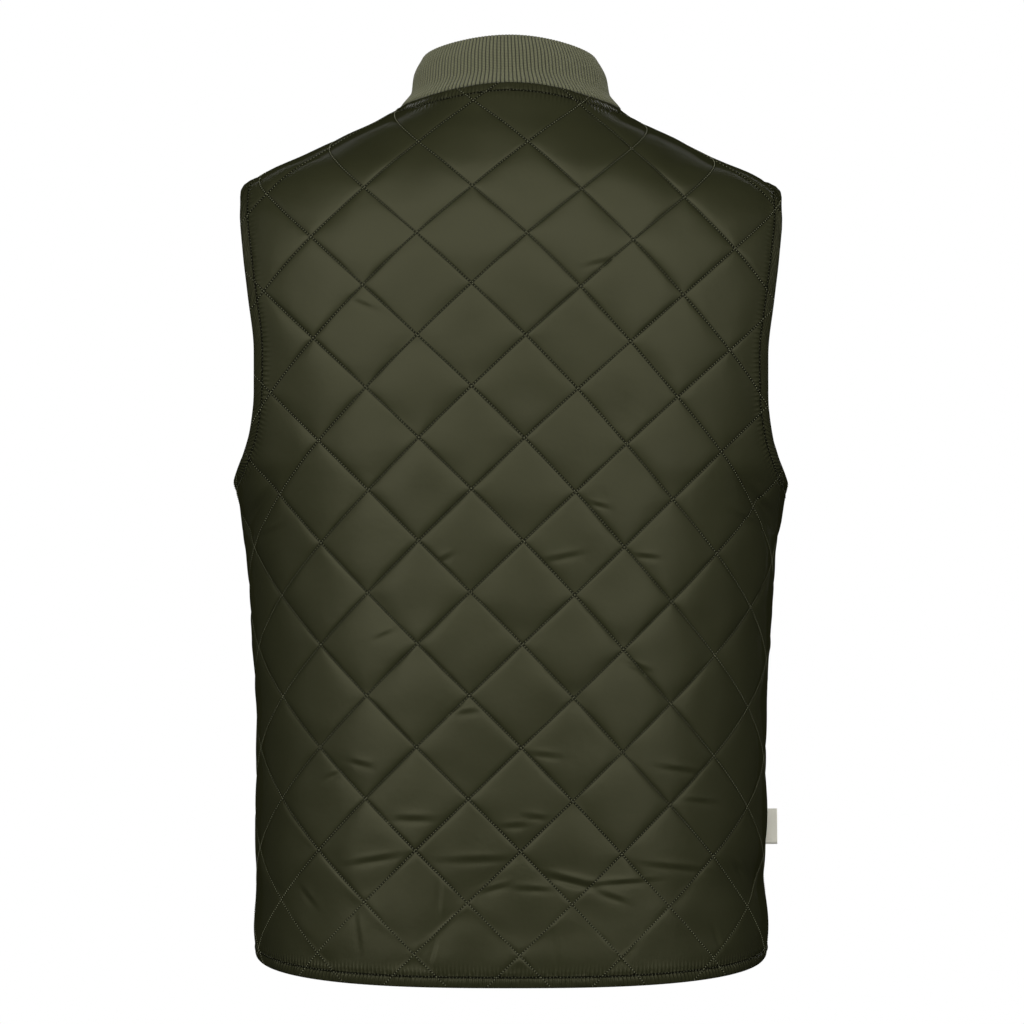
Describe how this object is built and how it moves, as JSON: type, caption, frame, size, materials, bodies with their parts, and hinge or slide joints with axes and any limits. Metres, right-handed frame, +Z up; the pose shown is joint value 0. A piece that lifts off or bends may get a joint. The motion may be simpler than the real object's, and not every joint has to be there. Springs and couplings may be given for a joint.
{
  "type": "quilted zip vest",
  "caption": "Sleeveless diamond-quilted vest with a rib-knit stand collar, a full front zip and a bare loop label in one side seam, kept in its worn hollow form.",
  "frame": {"origin": "middle of the neck opening at the height of the side neck points, where the wearer's shoulders hold the vest", "axes": "+Z up, the wearer faces -Y, the wearer's left is +X"},
  "size_m": [0.405, 0.255, 0.6725],
  "materials": {
    "quilted_nylon": "dark olive satin nylon, quilted over thin wadding",
    "rib_knit": "lighter grey-olive rib knit, matt",
    "zip_tape": "dark olive woven tape with moulded teeth",
    "zip_metal": "dull grey metal",
    "label_ribbon": "cream woven ribbon, bare"
  },
  "bodies": {
    "garment": {"back": "quilted_nylon", "front_left": "quilted_nylon", "front_right": "quilted_nylon", "collar": "rib_knit", "zip_tape_left": "zip_tape", "zip_tape_right": "zip_tape", "zip_slider": "zip_metal", "zip_box": "zip_metal", "side_label": "label_ribbon"},
    "pull_tab": {"zip_pull": "zip_metal"}
  },
  "joints": [
    {"name": "pull_tab_swing", "type": "hinge", "parent": "garment", "child": "pull_tab", "pos_m": [0, -0.08712, -0.07931], "axis": [-1, 0, 0], "range_deg": [0, 150]}
  ]
}
